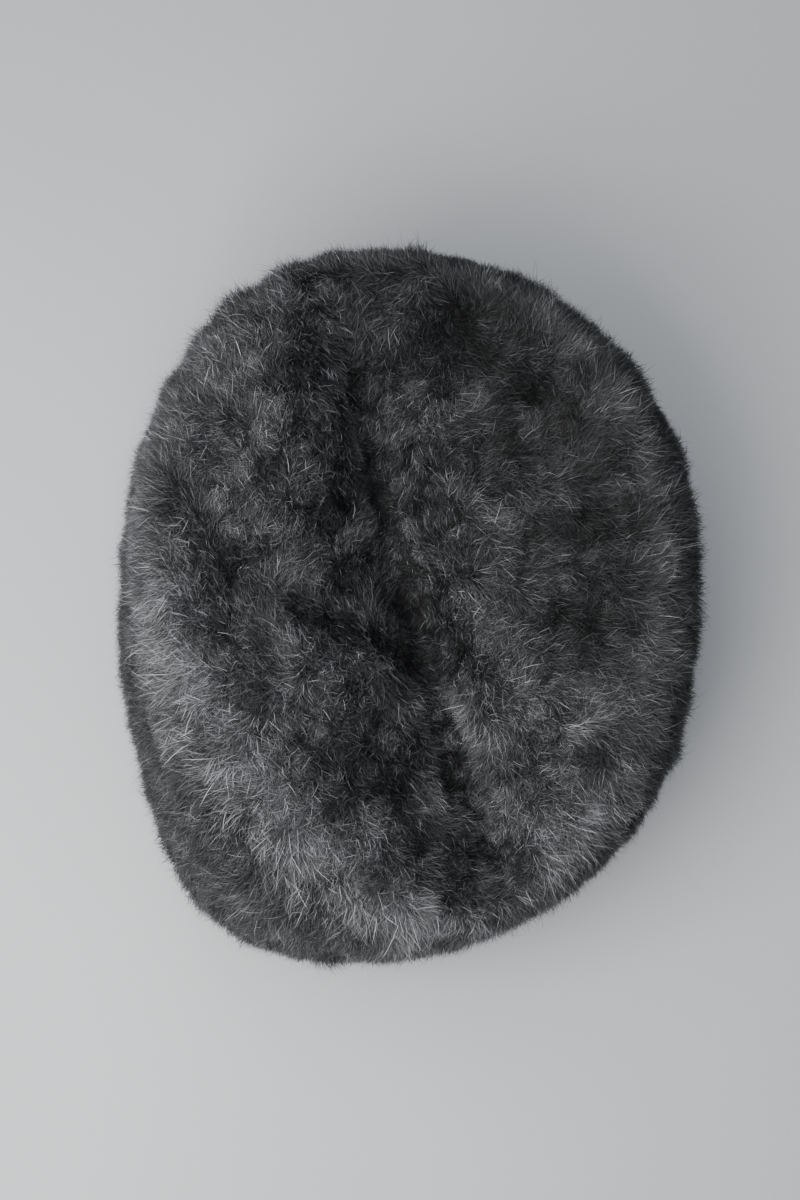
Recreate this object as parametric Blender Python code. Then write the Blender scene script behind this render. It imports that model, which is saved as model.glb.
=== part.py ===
"""A fur telpek hat: a pelt band round the head and a dented oval crown sewn to it.

Metres, +Z up, +Y towards the back of the hat, resting on its rim at z = 0.
The origin is under the middle of the hat's bounding box.
"""

import math
import random
from collections import namedtuple

import bmesh
import bpy
from mathutils import Vector

# Driving sizes, over the fur
HAT_HEIGHT = 0.112
BAND_HALF_WIDTH = 0.098
BAND_HALF_LENGTH = 0.118
CREST_INSET_SIDES = 0.021
CREST_INSET_ENDS = 0.017
SHOULDER_HEIGHT = 0.034

# How the crown sits on the band
CREST_TWIST = math.radians(9.3)
CREST_SHIFT_X = -0.0057
CREST_SHIFT_Y = 0.0015

# The pelt, fur and hide together
PILE_DEPTH = 0.013
HIDE_THICKNESS = 0.002
RIM_ROUNDING = 0.006
SEAM_GAP = 0.0004

# The crown's hollows
DISH_DEPTH = 0.010
CREASE_DEPTH = 0.024
CREASE_WIDTH_LEFT = 0.012
CREASE_WIDTH_RIGHT = 0.0075
RELIEF_DEPTH = 0.007
RELIEF_FADE_SHARE = 0.35
CREASE_FADE_SHARE = 0.12

# Fur locks, each with a valley, a ridge and a flank column
LOCK_HEIGHT = 0.0042
LOCK_SWAY = 0.0030
LOCK_STEEPNESS = 0.65
LOCK_UNEVENNESS = 0.35
LOCK_ACROSS = (-0.4, 0.8, 0.4)
FLOOR_CLEARANCE = 0.0008
LOCK_SEED = 5

# Mesh rows and columns. Columns start at the crease's front end and run round by the right side.
COLUMNS = 108
CREASE_FRONT_DEG = 283.0
CREASE_BACK_DEG = 97.0
BAND_FUR_ROWS = 15
SHOULDER_FUR_ROWS = 6
SHOULDER_HIDE_ROWS = 5
CROWN_FUR_RINGS = 13
CROWN_HIDE_RINGS = 6
RING_CROWDING = 1.15
OVAL_POWER = 2.1
SPINE_REACH = 0.72
LOWEST_ROW = 0.6
HALF_ROUND = COLUMNS // 2

CREST_HALF_WIDTH = BAND_HALF_WIDTH - CREST_INSET_SIDES
CREST_HALF_LENGTH = BAND_HALF_LENGTH - CREST_INSET_ENDS
PELT_THICKNESS = PILE_DEPTH + HIDE_THICKNESS

# One row for every 30 degrees round the hat, from +X by way of +Y
PlanRow = namedtuple("PlanRow", "band_share crest_share crest_rise_share")
PLAN = [
    PlanRow(1.00, 1.00, 0.00),
    PlanRow(1.02, 1.02, 0.00),
    PlanRow(0.985, 1.00, -0.01),
    PlanRow(0.99, 0.985, -0.03),
    PlanRow(1.015, 1.00, -0.01),
    PlanRow(1.015, 1.055, 0.01),
    PlanRow(0.96, 1.04, 0.015),
    PlanRow(0.955, 0.92, 0.01),
    PlanRow(1.05, 0.93, 0.00),
    PlanRow(1.005, 1.08, -0.025),
    PlanRow(0.98, 0.99, -0.02),
    PlanRow(1.01, 0.95, 0.00),
]

ProfileRow = namedtuple("ProfileRow", "height_share spread_share")
BAND_PROFILE = [
    ProfileRow(0.00, 0.972),
    ProfileRow(0.25, 0.992),
    ProfileRow(0.50, 1.000),
    ProfileRow(0.75, 0.997),
    ProfileRow(1.00, 0.980),
]

CreaseRow = namedtuple("CreaseRow", "along_share across_share depth_share")
CREASE = [
    CreaseRow(-1.00, 0.22, 0.10),
    CreaseRow(-0.84, 0.23, 0.38),
    CreaseRow(-0.70, 0.17, 0.55),
    CreaseRow(-0.54, 0.13, 0.75),
    CreaseRow(-0.40, 0.115, 0.85),
    CreaseRow(-0.28, 0.11, 0.75),
    CreaseRow(-0.16, 0.08, 0.95),
    CreaseRow(0.00, 0.02, 1.00),
    CreaseRow(0.18, 0.01, 1.00),
    CreaseRow(0.34, -0.01, 0.92),
    CreaseRow(0.50, -0.055, 0.70),
    CreaseRow(0.68, -0.095, 0.45),
    CreaseRow(0.85, -0.11, 0.32),
    CreaseRow(1.00, -0.11, 0.12),
]

# Places and reaches are shares of the crest's half width and half length, rises of the relief's depth.
ReliefRow = namedtuple(
    "ReliefRow", "across_share along_share reach_across reach_along rise_share turn_deg"
)
CROWN_RELIEF = [
    ReliefRow(-0.48, 0.00, 0.42, 0.09, -1.00, 2),
    ReliefRow(-0.72, -0.02, 0.14, 0.08, -0.45, 0),
    ReliefRow(0.38, -0.14, 0.22, 0.06, -0.85, -24),
    ReliefRow(0.47, 0.59, 0.17, 0.10, -0.60, 0),
    ReliefRow(0.80, 0.42, 0.12, 0.09, -0.45, 30),
    ReliefRow(0.74, 0.08, 0.16, 0.11, -0.50, 20),
    ReliefRow(-0.47, -0.53, 0.14, 0.07, -0.60, -20),
    ReliefRow(0.00, -0.84, 0.10, 0.11, -0.45, 10),
    ReliefRow(-0.46, 0.50, 0.34, 0.28, 0.95, 0),
    ReliefRow(-0.34, -0.26, 0.26, 0.15, 0.80, 0),
    ReliefRow(0.28, 0.05, 0.14, 0.09, 0.70, -20),
    ReliefRow(0.36, -0.36, 0.26, 0.16, 0.75, 0),
    ReliefRow(0.19, 0.42, 0.15, 0.17, 0.55, 0),
    ReliefRow(0.56, -0.58, 0.14, 0.12, 0.50, 30),
    ReliefRow(0.50, 0.27, 0.22, 0.10, 0.45, -20),
]

# A lock's rows from its root to its tip
LockRow = namedtuple("LockRow", "rise_share lean_share")
LOCK_PROFILE = [
    LockRow(0.20, 0.00),
    LockRow(0.70, 0.15),
    LockRow(1.00, 0.35),
    LockRow(0.80, 0.45),
]

FUR_COLOUR = (0.030, 0.030, 0.033, 1.0)
FUR_ROUGHNESS = 0.85


def smooth_step(share):
    share = min(max(share, 0.0), 1.0)
    return share * share * (3.0 - 2.0 * share)


def catmull(before, start, end, after, share):
    """A smooth value between start and end that leaves and arrives in line with its neighbours."""
    linear = end - before
    square = 2.0 * before - 5.0 * start + 4.0 * end - after
    cube = 3.0 * (start - end) + after - before
    return start + 0.5 * share * (linear + share * (square + share * cube))


def plan_value(column, angle):
    """One column of the plan table at any angle round the hat, in radians."""
    place = math.degrees(angle) % 360.0 / (360.0 / len(PLAN))
    first = int(place)
    values = [getattr(PLAN[(first + step) % len(PLAN)], column) for step in (-1, 0, 1, 2)]
    return catmull(*values, place - first)


def table_value(rows, key, column, place):
    """One column of a table at a place along its key, which grows from row to row."""
    keys = [getattr(row, key) for row in rows]
    place = min(max(place, keys[0]), keys[-1])
    first = max(index for index in range(len(keys) - 1) if keys[index] <= place)
    picks = [min(max(first + step, 0), len(rows) - 1) for step in (-1, 0, 1, 2)]
    share = (place - keys[first]) / (keys[first + 1] - keys[first])
    return catmull(*[getattr(rows[pick], column) for pick in picks], share)


def oval(half_width, half_length, angle):
    """A point on a slightly squared oval."""
    c, s = math.cos(angle), math.sin(angle)
    reach = (abs(c) ** OVAL_POWER + abs(s) ** OVAL_POWER) ** (-1.0 / OVAL_POWER)
    return Vector((half_width * c * reach, half_length * s * reach, 0.0))


def to_hat(local):
    """Turns and shifts a point of the crown's own plan into the hat's frame."""
    c, s = math.cos(CREST_TWIST), math.sin(CREST_TWIST)
    return Vector((
        local.x * c - local.y * s + CREST_SHIFT_X,
        local.x * s + local.y * c + CREST_SHIFT_Y,
        local.z,
    ))


def column_angle(column):
    """The angle round the hat of a column, with the crease's ends on the first and the middle one."""
    past_back, step = divmod(column, HALF_ROUND)
    start, end = CREASE_FRONT_DEG - 360.0, CREASE_BACK_DEG
    if past_back:
        start, end = CREASE_BACK_DEG, CREASE_FRONT_DEG
    return math.radians(start + (end - start) * step / HALF_ROUND)


def band_plan(angle):
    return oval(BAND_HALF_WIDTH, BAND_HALF_LENGTH, angle) * plan_value("band_share", angle)


def crest_plan(angle):
    """The crown's raised edge, in the crown's own plan."""
    return oval(CREST_HALF_WIDTH, CREST_HALF_LENGTH, angle) * plan_value("crest_share", angle)


def crest_height(angle):
    return HAT_HEIGHT * (1.0 + plan_value("crest_rise_share", angle))


def inset(plan, depth):
    """Moves a plan point towards the hat's middle."""
    return plan * (1.0 - depth / plan.length)


def band_point(angle, share, depth):
    """A point on the upright part of the band, share of the way up to the shoulder."""
    spread = table_value(BAND_PROFILE, "height_share", "spread_share", share)
    point = inset(band_plan(angle) * spread, depth)
    point.z = share * (crest_height(angle) - SHOULDER_HEIGHT)
    return point


def shoulder_point(angle, turn, depth):
    """A point on the quarter-round shoulder, from upright at turn 0 to the crest at turn pi / 2."""
    low = band_point(angle, 1.0, 0.0)
    crest = to_hat(crest_plan(angle))
    point = low.lerp(crest, 1.0 - math.cos(turn))
    flat = inset(Vector((point.x, point.y, 0.0)), depth * math.cos(turn) ** 2)
    flat.z = low.z + (SHOULDER_HEIGHT - depth) * math.sin(turn)
    return flat


def rim_point(angle):
    """The fur's lower edge, rounded in above the floor."""
    point = inset(band_point(angle, 0.0, 0.0), RIM_ROUNDING)
    point.z = 0.0
    return point


def relief_rise(across, along):
    """The sum of the crown's small hollows and puffs at a place in its own plan."""
    rise = 0.0
    for row in CROWN_RELIEF:
        off_x = across - row.across_share * CREST_HALF_WIDTH
        off_y = along - row.along_share * CREST_HALF_LENGTH
        c, s = math.cos(math.radians(row.turn_deg)), math.sin(math.radians(row.turn_deg))
        u = (off_x * c + off_y * s) / (row.reach_across * CREST_HALF_WIDTH)
        v = (off_y * c - off_x * s) / (row.reach_along * CREST_HALF_LENGTH)
        rise += row.rise_share * math.exp(-(u * u + v * v))
    return rise * RELIEF_DEPTH


def crease_drop(across, along):
    """How far the lengthwise crease pulls the crown down at a place in its own plan."""
    share = along / CREST_HALF_LENGTH
    middle = table_value(CREASE, "along_share", "across_share", share) * CREST_HALF_WIDTH
    depth = table_value(CREASE, "along_share", "depth_share", share) * CREASE_DEPTH
    off = across - middle
    width = CREASE_WIDTH_RIGHT if off > 0.0 else CREASE_WIDTH_LEFT
    return depth * math.exp(-abs(off) / width)


def crown_point(column, ring):
    """A point of the crown, from its crease at ring 0 out to its crest at ring 1."""
    angle = column_angle(column)
    crest = crest_plan(angle)
    along = SPINE_REACH * (1.0 - 2.0 * abs(column - HALF_ROUND) / HALF_ROUND)
    across = table_value(CREASE, "along_share", "across_share", along)
    spine = Vector((across * CREST_HALF_WIDTH, along * CREST_HALF_LENGTH, 0.0))
    local = spine.lerp(crest, ring)
    level = crest_height(angle) * ring + HAT_HEIGHT * (1.0 - ring)
    dish = DISH_DEPTH * (1.0 - ring * ring) ** 2
    crease = crease_drop(local.x, local.y) * smooth_step((1.0 - ring) / CREASE_FADE_SHARE)
    relief = relief_rise(local.x, local.y) * smooth_step((1.0 - ring) / RELIEF_FADE_SHARE)
    local.z = level - dish - crease + relief
    return to_hat(local)


def mesh_of(name, vertices, faces):
    mesh = bpy.data.meshes.new(name)
    mesh.from_pydata(vertices, [], faces)
    mesh.validate()
    return mesh


def strip(low, high):
    """Faces between two loops of vertex numbers that run round the hat."""
    count = len(low)
    made = []
    for column in range(count):
        after = (column + 1) % count
        face = [low[column], low[after], high[after], high[column]]
        kept = [v for index, v in enumerate(face) if v not in face[:index]]
        if len(kept) > 2:
            made.append(kept)
    return made


def loop_of(vertices, points):
    """Adds a loop of points and returns their vertex numbers."""
    start = len(vertices)
    vertices.extend(points)
    return list(range(start, len(vertices)))


def add_locks(mesh, loops):
    """Raises staggered locks on the fur side, along loops in the order that the fur is combed."""
    chance = random.Random(LOCK_SEED)
    normals = [vertex.normal.copy() for vertex in mesh.vertices]
    places = [vertex.co.copy() for vertex in mesh.vertices]
    locks = {}
    for row, loop in enumerate(loops[1:-1]):
        line, phase = divmod(row, len(LOCK_PROFILE))
        profile = LOCK_PROFILE[phase]
        for column, vertex in enumerate(loop):
            side = places[loop[(column + 1) % COLUMNS]] - places[loop[column - 1]]
            onward = places[loops[row + 2][column]] - places[vertex]
            tallest = min(LOCK_HEIGHT, LOCK_STEEPNESS * min(side.length, onward.length))
            lock, across = divmod((column + line) % COLUMNS, len(LOCK_ACROSS))
            size, sway = locks.setdefault(
                (line, lock),
                (1.0 + LOCK_UNEVENNESS * chance.uniform(-1.0, 1.0), chance.uniform(-1.0, 1.0)),
            )
            move = normals[vertex] * (LOCK_ACROSS[across] * tallest * profile.rise_share * size)
            if LOCK_ACROSS[across] > 0.0:
                aside = side.normalized() * LOCK_SWAY * sway * tallest / LOCK_HEIGHT
                move += (onward + aside) * profile.lean_share
            tip = places[vertex] + move
            tip.z = max(tip.z, FLOOR_CLEARANCE)
            mesh.vertices[vertex].co = tip


def make_band():
    """The side band: fur outside, hide inside, flat rim below, seam edge at the crest."""
    angles = [column_angle(column) for column in range(COLUMNS)]
    vertices = []
    fur = [loop_of(vertices, [rim_point(a) for a in angles])]
    for row in range(BAND_FUR_ROWS):
        share = (row + LOWEST_ROW) / (BAND_FUR_ROWS - 1 + LOWEST_ROW)
        fur.append(loop_of(vertices, [band_point(a, share, 0.0) for a in angles]))
    for row in range(1, SHOULDER_FUR_ROWS + 1):
        turn = 0.5 * math.pi * row / SHOULDER_FUR_ROWS
        fur.append(loop_of(vertices, [shoulder_point(a, turn, 0.0) for a in angles]))
    hide = []
    for row in range(SHOULDER_HIDE_ROWS, 0, -1):
        turn = 0.5 * math.pi * row / SHOULDER_HIDE_ROWS
        hide.append(loop_of(vertices, [shoulder_point(a, turn, PELT_THICKNESS) for a in angles]))
    for share in (1.0, 0.5, 0.0):
        hide.append(loop_of(vertices, [band_point(a, share, PELT_THICKNESS) for a in angles]))
    loops = fur + hide
    faces = []
    for index, loop in enumerate(loops):
        faces += strip(loop, loops[(index + 1) % len(loops)])
    mesh = mesh_of("side_band", vertices, faces)
    add_locks(mesh, fur[::-1])
    return mesh


def crown_edge(column):
    """A point of the crown's sewn edge, a seam's gap inside the band's."""
    point = crown_point(column, 1.0)
    edge = inset(Vector((point.x, point.y, 0.0)), SEAM_GAP)
    edge.z = point.z
    return edge


def crown_rings(vertices, count, drop):
    """Loops from the crown's edge in to its crease, with the two sides sharing the crease's points."""
    down = Vector((0.0, 0.0, drop))
    rings = [loop_of(vertices, [crown_edge(column) - down for column in range(COLUMNS)])]
    for index in range(count - 1, 0, -1):
        ring = (index / count) ** RING_CROWDING
        points = [crown_point(column, ring) - down for column in range(COLUMNS)]
        rings.append(loop_of(vertices, points))
    spine = loop_of(vertices, [crown_point(step, 0.0) - down for step in range(HALF_ROUND + 1)])
    rings.append([spine[min(column, COLUMNS - column)] for column in range(COLUMNS)])
    return rings


def make_crown():
    """The dented crown: fur above, hide below, joined by its seam edge."""
    vertices = []
    fur = crown_rings(vertices, CROWN_FUR_RINGS, 0.0)
    hide = crown_rings(vertices, CROWN_HIDE_RINGS, PELT_THICKNESS)
    faces = []
    for low, high in zip(fur, fur[1:]):
        faces += strip(low, high)
    for low, high in zip(hide, hide[1:]):
        faces += strip(high, low)
    faces += strip(hide[0], fur[0])
    mesh = mesh_of("crown", vertices, faces)
    add_locks(mesh, fur[::-1])
    return mesh


def fur_material():
    material = bpy.data.materials.new("dark_fur")
    material.use_nodes = True
    shader = material.node_tree.nodes["Principled BSDF"]
    shader.inputs["Base Color"].default_value = FUR_COLOUR
    shader.inputs["Roughness"].default_value = FUR_ROUGHNESS
    shader.inputs["Metallic"].default_value = 0.0
    return material


def face_outwards(mesh):
    shape = bmesh.new()
    shape.from_mesh(mesh)
    bmesh.ops.recalc_face_normals(shape, faces=shape.faces)
    bmesh.ops.triangulate(shape, faces=shape.faces)
    shape.to_mesh(mesh)
    shape.free()


def place_over_origin(meshes):
    """Moves the hat so that the origin lies under the middle of its bounding box."""
    places = [vertex.co for mesh in meshes for vertex in mesh.vertices]
    middle_x = 0.5 * (min(p.x for p in places) + max(p.x for p in places))
    middle_y = 0.5 * (min(p.y for p in places) + max(p.y for p in places))
    for mesh in meshes:
        for vertex in mesh.vertices:
            vertex.co.x -= middle_x
            vertex.co.y -= middle_y


def main():
    for old in list(bpy.data.objects):
        bpy.data.objects.remove(old)
    meshes = [make_band(), make_crown()]
    place_over_origin(meshes)
    material = fur_material()
    for mesh in meshes:
        face_outwards(mesh)
        mesh.materials.append(material)
        mesh.shade_smooth()
        piece = bpy.data.objects.new(mesh.name, mesh)
        bpy.context.scene.collection.objects.link(piece)


main()
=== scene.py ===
import math

import bmesh
import bpy
import numpy as np
from bpy.props import FloatProperty, FloatVectorProperty, IntProperty, PointerProperty
from mathutils import Matrix, Vector
from mathutils.bvhtree import BVHTree


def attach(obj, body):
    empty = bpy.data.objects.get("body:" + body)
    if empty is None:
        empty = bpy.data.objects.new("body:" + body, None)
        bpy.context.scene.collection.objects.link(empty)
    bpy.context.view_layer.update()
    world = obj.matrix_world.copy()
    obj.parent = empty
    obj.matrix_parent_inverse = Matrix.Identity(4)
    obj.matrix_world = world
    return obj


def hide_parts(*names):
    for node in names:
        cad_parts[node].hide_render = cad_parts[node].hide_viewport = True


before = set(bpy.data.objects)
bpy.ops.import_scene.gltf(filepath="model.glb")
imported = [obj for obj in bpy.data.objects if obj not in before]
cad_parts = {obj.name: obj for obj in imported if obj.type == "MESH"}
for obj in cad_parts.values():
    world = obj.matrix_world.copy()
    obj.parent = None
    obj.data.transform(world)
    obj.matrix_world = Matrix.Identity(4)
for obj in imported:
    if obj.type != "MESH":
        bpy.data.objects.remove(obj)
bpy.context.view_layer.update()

bl_info = {
    "name": "Fur Hat",
    "version": (1, 0, 0),
    "blender": (4, 5, 0),
    "location": "3D View > Sidebar > Fur Hat",
    "description": "Dresses a low fur hat: its hide, its coats of hair and the stitches of its seam",
    "category": "Object",
}

MM = 0.001
BAND = "side_band"
CROWN = "crown"

# The camera that the hat was seen by, in the hat's own frame. Its roll is what the picture leans by.
CAMERA_AT = Vector((-0.1197, -0.1181, 0.7124))
CAMERA_AIM = Vector((-0.0128, -0.0063, 0.1120))
CAMERA_ROLL_DEG = -3.53
CAMERA_LENS = 60.5
CAMERA_SENSOR = 36.0

# Each light: its name, place, aim, size, power and colour.
LIGHTS = (
    ("key_light", (-0.23, -0.21, 0.47), (-0.01, -0.01, 0.08), 0.30, 3.5, (1.0, 0.99, 0.97)),
    ("top_light", (-0.34, 0.10, 1.05), (0.0, 0.0, 0.05), 0.8, 6.0, (0.97, 0.98, 1.0)),
)
ROOM_COLOUR = (0.87, 0.93, 1.0, 1.0)
ROOM_STRENGTH = 0.25
FLOOR_HALF = 9.0
FLOOR_DROP = 0.2 * MM

# Which way the hairs lie on the crown: place in mm and heading in degrees, counted from +X towards +Y.
CROWN_COMB = (
    (-35.3, 51.9, 210), (-15.3, 78.9, 240), (-75.3, 42.9, 125), (-83.3, 30.9, 150), (-61.3, 27.9, 150),
    (-78.3, 3.9, 170), (-58.3, -17.1, 192), (-35.3, -2.1, 185), (-71.3, -38.1, 215), (-48.3, -62.1, 225),
    (-18.3, -86.1, 255), (-12.3, -50.1, 245), (-28.3, -29.1, 205), (13.7, -29.1, 350), (40.7, -17.1, 340),
    (53.7, -56.1, 305), (20.7, -77.1, 290), (66.7, -2.1, 0), (40.7, 36.9, 330), (40.7, 63.9, 50),
    (0.7, 90.9, 95), (-22.3, 72.9, 300), (4.7, 51.9, 340), (0.7, 18.9, 60), (66.7, 36.9, 10),
)
COMB_REACH = 22 * MM
BAND_OUTWARD = 0.6

# Places on the crown in mm: where the fur puffs up and a highlight is painted on it, the middle of the crease
# from back to front, along which shade is painted, the crest, where a highlight is painted, where the fur
# lies open and shows its dark roots, with painted shade there too, and a patch where shade is painted.
HIGHLIGHT_PUFFS = (
    (-52, 50), (-65, 16), (1, 16), (15, 11), (-31, -25), (23, -27), (43, -44), (57, -52), (-1, 49),
)
CREASE_LINE = (
    (-30, 79), (-26, 65), (-22, 52), (-17, 39), (-12, 23), (-8, 10), (-3, -4), (2, -18), (6, -33),
    (10, -49), (16, -64), (22, -78), (26, -90),
)
PAINTED_HIGHLIGHT_CREST = ((-82, -16), (-75, -36), (-67, -50), (-57, -63), (-46, -74), (-34, -83), (-20, -91), (-6, -97))
DARK_PARTINGS = (
    (18, 68), (49, 56), (49, 22), (-35, -56), (7, -81), (61, 16), (-14, 4), (-30, 1), (-50, -3), (-68, -6),
    (12, -2), (24, -6), (36, -9),
)
PAINTED_SHADE_PATCH = ((5, 84), (22, 69), (36, 51), (44, 26), (20, 45), (60, 12), (52, -8))

# How the tone of the fur changes, where 1 is even: by how much, and how far round those places. The puffs,
# the crest and the seam get painted highlights, the crease and the patch painted shade, and the partings are
# darker from their roots and from painted shade.
# The puffs get a painted highlight.
PUFF_HIGHLIGHT_TONE = (0.25, 9 * MM)
# The partings are darker from their dark roots and from painted shade.
PARTING_ROOTS_AND_SHADE_TONE = (-0.20, 7 * MM)
# Shade is painted along the crease.
CREASE_SHADE_TONE = (-0.80, 2.3 * MM)
# Shade is painted on the patch.
PATCH_SHADE_TONE = (-0.40, 14 * MM)
# A highlight is painted on the crest, from none at the first height to full at the second.
PAINTED_HIGHLIGHT_CREST_TONE = (0.9, 8 * MM)
PAINTED_HIGHLIGHT_CREST_HEIGHTS = (75 * MM, 95 * MM)
# A highlight is painted along the seam, which runs along the crest.
SEAM_HIGHLIGHT_TONE = (0.3, 6 * MM)
TONE_LIMITS = (0.2, 2.2)

# The far right of the hat has painted shade: by how much, towards where, and how far on it is fully so.
FAR_SHADE_TONE = -0.42
FAR_SHADE_WAY = (0.8, 0.6)
FAR_SHADE_REACH = 60 * MM

# The wall has painted shade: by how much, and how far from the seam that begins and is full.
WALL_SHADE_TONE = -0.3
WALL_SHADE_LEADS = (9 * MM, 17 * MM)

# What wanders over the fur: how much, the size of its hills and a seed. Turns are in degrees.
TONE_WANDERS = ((0.10, 11 * MM, 21), (0.15, 4.5 * MM, 22))
TURN_WANDERS = ((24, 15 * MM, 11), (16, 6 * MM, 12))
LENGTH_WANDERS = ((0.16, 11 * MM, 31),)
WAVES = 9
WAVE_RATES = (0.6, 1.5)
WAVES_SPREAD = 2.1

# How the skin is drawn from the CAD pelts. In each round a value spreads to its neighbours.
SEAM_CLOSING = 0.8 * MM
WELD = 0.01 * MM
SEAM_CLEARANCE = 0.02 * MM
SOFTENING_ROUNDS = 15
LEAD_ROUNDS = 3
HOLLOW_ROUNDS = 45
SINK_ROUNDS = 14
CREST_ROUNDS = 12
STAND_ROUNDS = 30
DEEPEST_HOLLOW = 12 * MM
PARTING_REACH = 2.6 * MM
CREST_REACH = 7 * MM
STAND_REACH = 16 * MM
SEAM_BLEND = 8 * MM
CROWN_FLOOR = 70 * MM
RIM_TOP = 3.5 * MM
RIM_SLOPE = -0.7

# Where fur grows: how far up a ray starts, which slopes lose it, and which shares of it are the fur side.
RAY_LIFT = 0.3 * MM
FURRED_SLOPES = (-0.75, -0.5)
FUR_SIDE_SHARES = (0.2, 0.7)
FULLY_FURRED = 0.98
BARE_RIM = 3 * MM
BARE = 0.05

# How dense the hairs stand: low on the wall, what is added higher up, and what is added on each side of the
# seam and how far from it. Then what is taken off in the crease's parting.
LOW_FUR = 0.55
HIGH_FUR = 0.35
HIGH_FUR_HEIGHTS = (45 * MM, 75 * MM)
CROWN_SEAM_FUR = (0.6, 4 * MM)
BAND_SEAM_FUR = (2.2, 11 * MM)
PARTING_THINNING = 0.35

# How much longer the hairs are at the crest, how far from the seam, and how much shorter in the parting.
CREST_STRETCH = (0.25, 9 * MM)
PARTING_TRIM = 0.4

# The coats. Lift and Lean are shares of a hair's length, Spread is its scatter in radians, Bend its curl to a
# side, Gather how far the hairs of a tuft lean together and Tone how pale they are.
TOP_COAT = {"Lift": 0.86, "Lean": 0.68, "Spread": 0.8, "Gather": 0.30, "Tone": 1.0}
UNDER_COAT = {"Lift": 0.86, "Lean": 0.68, "Spread": 1.25, "Gather": 0.18, "Tone": 0.85}
GUARD_COAT = {"Lift": 0.86, "Lean": 0.72, "Spread": 0.9, "Bend": 0.1, "Gather": 0.05, "Tone": 1.0}
UNDER_LENGTH = 0.92
UNDER_WIDTH = 0.8

# How the hairs of one coat differ, from the least to the most, and how tufts do: a base and what luck adds.
HAIR_LENGTHS = (0.6, 1.15)
HAIR_LIFTS = (0.7, 1.25)
HAIR_ROLL = 0.7
HAIR_SCATTER = 0.75
HAIR_TONE_BASE = 0.28
HAIR_TONE_RANGE = 2.9
HAIR_TONE_POWER = 4.0
TUFT_LENGTHS = (0.78, 0.44)
TUFT_TONES = (0.6, 0.8)
TUFT_TURN = 0.6

# The curve of one hair: how much its rise slows, how much of its lean comes at once, and how it tapers.
HAIR_DROOP = 0.4
EARLY_LEAN = 0.35
HAIR_TAPER = 0.55
FLOOR_CLEARANCE = 0.4 * MM

# The map keeps a hair's tone as a share of the most that it can be.
MOST_TONE = 4.0
ROOT_OF_GUARD = 0.35

# A sewn stitch: its ends dip and its middle rises by so many widths of the thread. SLANT_LUCK is its scatter.
STITCH_DIP = -1.5
STITCH_RISE = 4.0
STITCH_SIDES = 6
SLANT_LUCK = 0.15

# How fine the patterns of the materials are.
NAP_SCALE = 1400.0
SCUFF_SCALE = 42.0
HIDE_CREASE_SCALE = 210.0
WOBBLE_SCALE = 90.0
WOBBLE = 4 * MM
FIBRE_SCALE = 3000.0
TABLE_CLOUD_SCALE = 7.0
TABLE_GRAIN_SCALE = 420.0

# What the skin holds for its hairs to grow by, and what a finished coat of hairs no longer needs.
GROWTH_VALUES = ("lead", "fur", "comb", "stand", "tone", "stretch")
HAIR_VALUES = ("along", "across", "fur_side", *GROWTH_VALUES)
VECTOR = "FLOAT_VECTOR"


class PileSizes(bpy.types.PropertyGroup):
    """Sizes of the hairs and of what they stand on."""

    grid: FloatProperty(
        name="Pelt grid", description="Size of the faces of the pelt under the fur",
        default=0.0032, min=0.001, unit="LENGTH")
    sink: FloatProperty(
        name="Pile sink", description="How far the skin of the pelt lies under the fur's outer form",
        default=0.0045, min=0.0, unit="LENGTH")
    crease_fill: FloatProperty(
        name="Crease fill", description="How far the fur fills the crease and the dents",
        default=0.22, min=0.0, max=1.0, subtype="FACTOR")
    parting_depth: FloatProperty(
        name="Parting depth", description="How deep the fur parts along the middle of the crease",
        default=0.0052, min=0.0, unit="LENGTH")
    hair_length: FloatProperty(
        name="Hair length", description="Length of the short dense hairs",
        default=0.0064, min=0.001, unit="LENGTH")
    hair_width: FloatProperty(
        name="Hair width", description="Width of a short hair at its root",
        default=0.00025, min=0.00005, unit="LENGTH")
    guard_length: FloatProperty(
        name="Guard hair length", description="Length of the sparse pale hairs that stand over the rest",
        default=0.0095, min=0.001, unit="LENGTH")
    guard_width: FloatProperty(
        name="Guard hair width", description="Width of a guard hair at its root",
        default=0.00011, min=0.00005, unit="LENGTH")
    tuft: FloatProperty(
        name="Tuft size", description="Width of a tuft, whose hairs lean together",
        default=0.0085, min=0.001, unit="LENGTH")
    under_hairs: IntProperty(
        name="Hairs in an under-coat", description="Number of fine straight hairs in each under-coat",
        default=186000, min=100)
    over_hairs: IntProperty(
        name="Hairs in a top coat", description="Number of bent hairs over the under-coats of a pelt",
        default=48000, min=100)
    crown_guards: IntProperty(
        name="Guard hairs on the crown", description="Number of pale hairs on the crown",
        default=3200, min=0)
    band_guards: IntProperty(
        name="Guard hairs on the band", description="Number of pale hairs on the side band",
        default=4500, min=0)


class PileColours(bpy.types.PropertyGroup):
    """Colours of the hairs, the hide and the floor."""

    root: FloatVectorProperty(
        name="Root", description="Colour of a hair at its root",
        subtype="COLOR", default=(0.0060, 0.0060, 0.0066), min=0.0, max=1.0)
    tip: FloatVectorProperty(
        name="Tip", description="Colour of a hair at its tip",
        subtype="COLOR", default=(0.134, 0.137, 0.144), min=0.0, max=1.0)
    guard: FloatVectorProperty(
        name="Guard hair", description="Colour of the pale hairs",
        subtype="COLOR", default=(0.27, 0.278, 0.29), min=0.0, max=1.0)
    hide: FloatVectorProperty(
        name="Hide", description="Colour of the skin side of the pelt",
        subtype="COLOR", default=(0.070, 0.060, 0.052), min=0.0, max=1.0)
    thread: FloatVectorProperty(
        name="Thread", description="Colour of the sewing thread inside",
        subtype="COLOR", default=(0.030, 0.028, 0.027), min=0.0, max=1.0)
    floor: FloatVectorProperty(
        name="Floor", description="Colour of the floor",
        subtype="COLOR", default=(0.62, 0.63, 0.65), min=0.0, max=1.0)


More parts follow.
